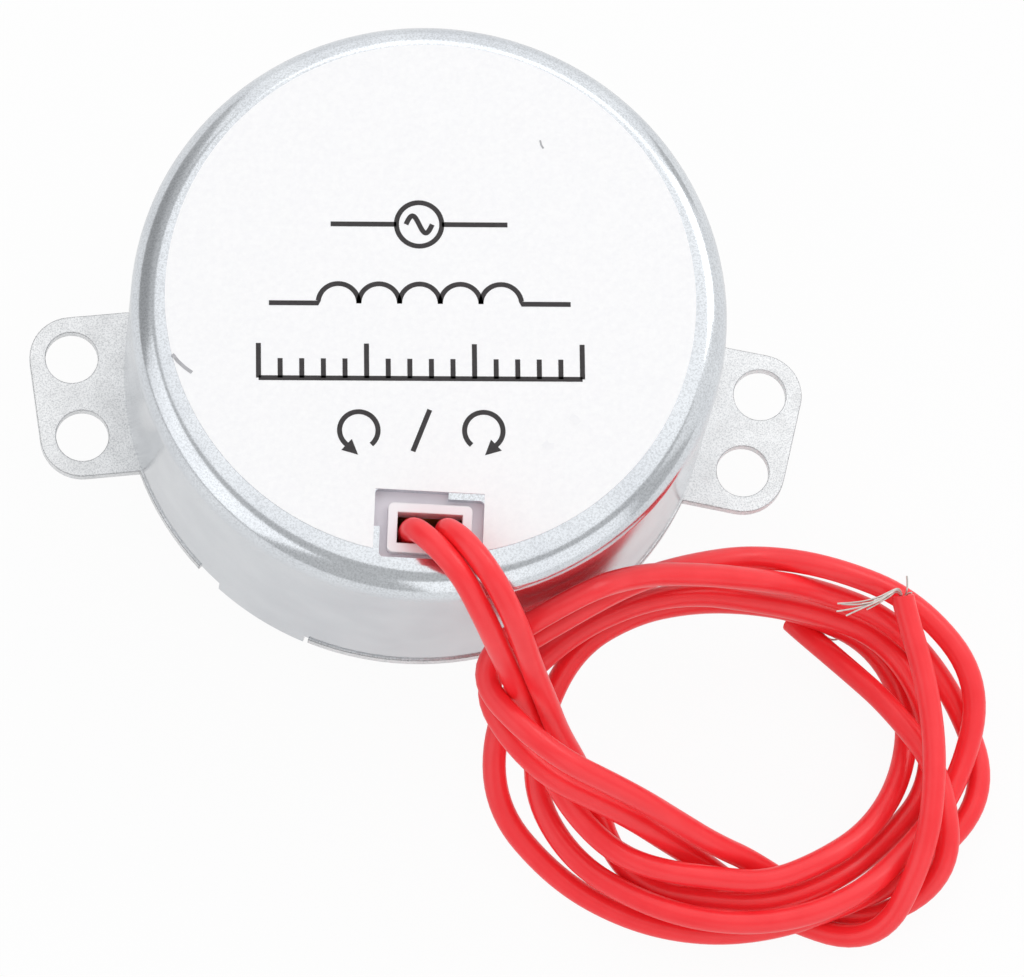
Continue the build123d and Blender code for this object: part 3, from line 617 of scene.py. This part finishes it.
def make_world():
    """Even white surroundings, darker at the room's far left."""
    world = bpy.data.worlds.new("studio")
    bpy.context.scene.world = world
    world.use_nodes = True
    tree = world.node_tree
    sky = tree.nodes["Background"]
    sky.inputs["Color"].default_value = grey(1.0)
    place = tree.nodes.new("ShaderNodeTexCoord")
    toward = tree.nodes.new("ShaderNodeVectorMath")
    toward.operation = "DOT_PRODUCT"
    toward.inputs[1].default_value = DARK_SIDE
    tree.links.new(place.outputs["Generated"], toward.inputs[0])
    fall = tree.nodes.new("ShaderNodeMapRange")
    fall.interpolation_type = "SMOOTHSTEP"
    fall.inputs["From Min"].default_value = DARK_SIDE_EDGE[0]
    fall.inputs["From Max"].default_value = DARK_SIDE_EDGE[1]
    fall.inputs["To Min"].default_value = WORLD_LIGHT
    fall.inputs["To Max"].default_value = DARK_SIDE_LIGHT
    tree.links.new(toward.outputs["Value"], fall.inputs["Value"])
    rays = tree.nodes.new("ShaderNodeLightPath")
    level = tree.nodes.new("ShaderNodeMath")
    level.operation = "MAXIMUM"
    tree.links.new(rays.outputs["Is Camera Ray"], level.inputs[0])
    tree.links.new(fall.outputs["Result"], level.inputs[1])
    tree.links.new(level.outputs["Value"], sky.inputs["Strength"])


bpy.context.scene.view_settings.view_transform = "Standard"

can_zinc = can_material()
plate_zinc = plate_material()
label_paper = paper_material()
nylon = plastic_material("nylon_white", srgb(248, 245, 248), srgb(242, 238, 243),
                         roughness=0.35, scale=300.0, edge_mm=0.15)
# Painted shade: the flange is the same white nylon as the outlet, painted darker for the shade it lies
# in down in the window.
flange_nylon_shaded = plastic_material("flange_nylon_shaded", srgb(228, 222, 229), srgb(220, 214, 222),
                                roughness=0.35, scale=300.0, edge_mm=0.1)
gear_nylon = plastic_material("gear_nylon", srgb(240, 238, 228), srgb(232, 230, 220),
                              roughness=0.4, scale=300.0, edge_mm=0.05)
red_insulation = plastic_material("red_insulation", srgb(255, 54, 61), srgb(251, 45, 53),
                                  roughness=0.3, scale=400.0)
tinned = metal_material("tinned_copper", srgb(226, 222, 216), srgb(196, 190, 184),
                        roughness=0.3, scale=1500.0, edge_mm=0.0)
steel = metal_material("hard_steel", srgb(206, 207, 210), srgb(188, 190, 193),
                       roughness=0.25, scale=800.0)
bronze = metal_material("bush_bronze", srgb(198, 160, 100), srgb(176, 138, 80),
                        roughness=0.4, scale=1200.0)
copper = metal_material("copper_winding", srgb(190, 108, 60), srgb(160, 84, 44),
                        roughness=0.35, scale=700.0)
ferrite = plastic_material("ferrite", srgb(58, 58, 60), srgb(48, 48, 50),
                           roughness=0.6, scale=900.0, edge_mm=0.1)
ink_black = plastic_material("ink_black", srgb(52, 48, 50), srgb(40, 36, 38),
                             roughness=0.55, scale=3000.0)
# Grey for the painted shade of the nick's lifted edge, and for the fleck.
nick_shade_and_fleck_grey = plastic_material("nick_shade_and_fleck_grey", srgb(188, 188, 192), srgb(164, 164, 168),
                               roughness=0.5, scale=3000.0)
smudge_grey = plastic_material("smudge_grey", srgb(248, 248, 250), srgb(243, 243, 246),
                               roughness=0.5, scale=900.0)
tape = plastic_material("tape_yellow", srgb(228, 196, 88), srgb(218, 184, 74),
                        roughness=0.4, scale=300.0)

dress(["rear_can", "pole_plate"], can_zinc)
dress(["front_plate"], plate_zinc)
dress(["rating_label"], label_paper)
dress(["lead_outlet"], nylon)
dress(["coil_bobbin"], flange_nylon_shaded)
dress(["rotor_hub", "first_gear", "second_gear", "spindle_washer", "thrust_washer"], gear_nylon)
dress(["plate_posts", "rotor_spindle", "gear_pins", "output_gear", "output_shaft"], steel)
dress(["output_bush"], bronze)
dress(["coil_winding"], copper)
dress(["winding_tape"], tape)
dress(["rotor_magnet"], ferrite)
dress(["terminal_pins"], tinned)

strands_a = make_strands("lead_a_strand_fan", LEAD_A_STRANDS_MM, tinned, "lead_a_strands")
strands_b = make_strands("lead_b_strand_fan", LEAD_B_STRANDS_MM, tinned, "lead_b_strands")
make_lead("lead_a", LEAD_A_ROUTE_MM, LEAD_A_RADII_MM, LEAD_A_HEIGHTS_MM, LEAD_A_TIP_MM,
          red_insulation, ["lead_a_run", "lead_a_coil"])
make_lead("lead_b", LEAD_B_ROUTE_MM, LEAD_B_RADII_MM, LEAD_B_HEIGHTS_MM, LEAD_B_TIP_MM,
          red_insulation, ["lead_b_run", "lead_b_coil"])
turn_lines, turn_heads = turn_strokes()
label_print("ink_source", source_strokes(), INK_STROKE_MM, ink_black, INK_TILT_DEG)
label_print("ink_winding", winding_strokes(), INK_STROKE_MM, ink_black, INK_TILT_DEG)
label_print("ink_scale", scale_strokes(), INK_STROKE_MM, ink_black, INK_TILT_DEG)
label_print("ink_turn", turn_lines, INK_STROKE_MM, ink_black, INK_TILT_DEG, turn_heads)
# Painted shade: a flat grey stroke for the shade along the nick's lifted edge.
label_print("label_nick_shade", [NICK_SHADE_MM], NICK_SHADE_WIDTH_MM, nick_shade_and_fleck_grey)
label_print("label_flecks", FLECKS_MM, FLECK_WIDTH_MM, nick_shade_and_fleck_grey)
label_print("label_smudges", SMUDGES_MM, SMUDGE_WIDTH_MM, smudge_grey)

make_camera()
make_floor()
make_world()
for lamp in LAMPS:
    make_lamp(*lamp)
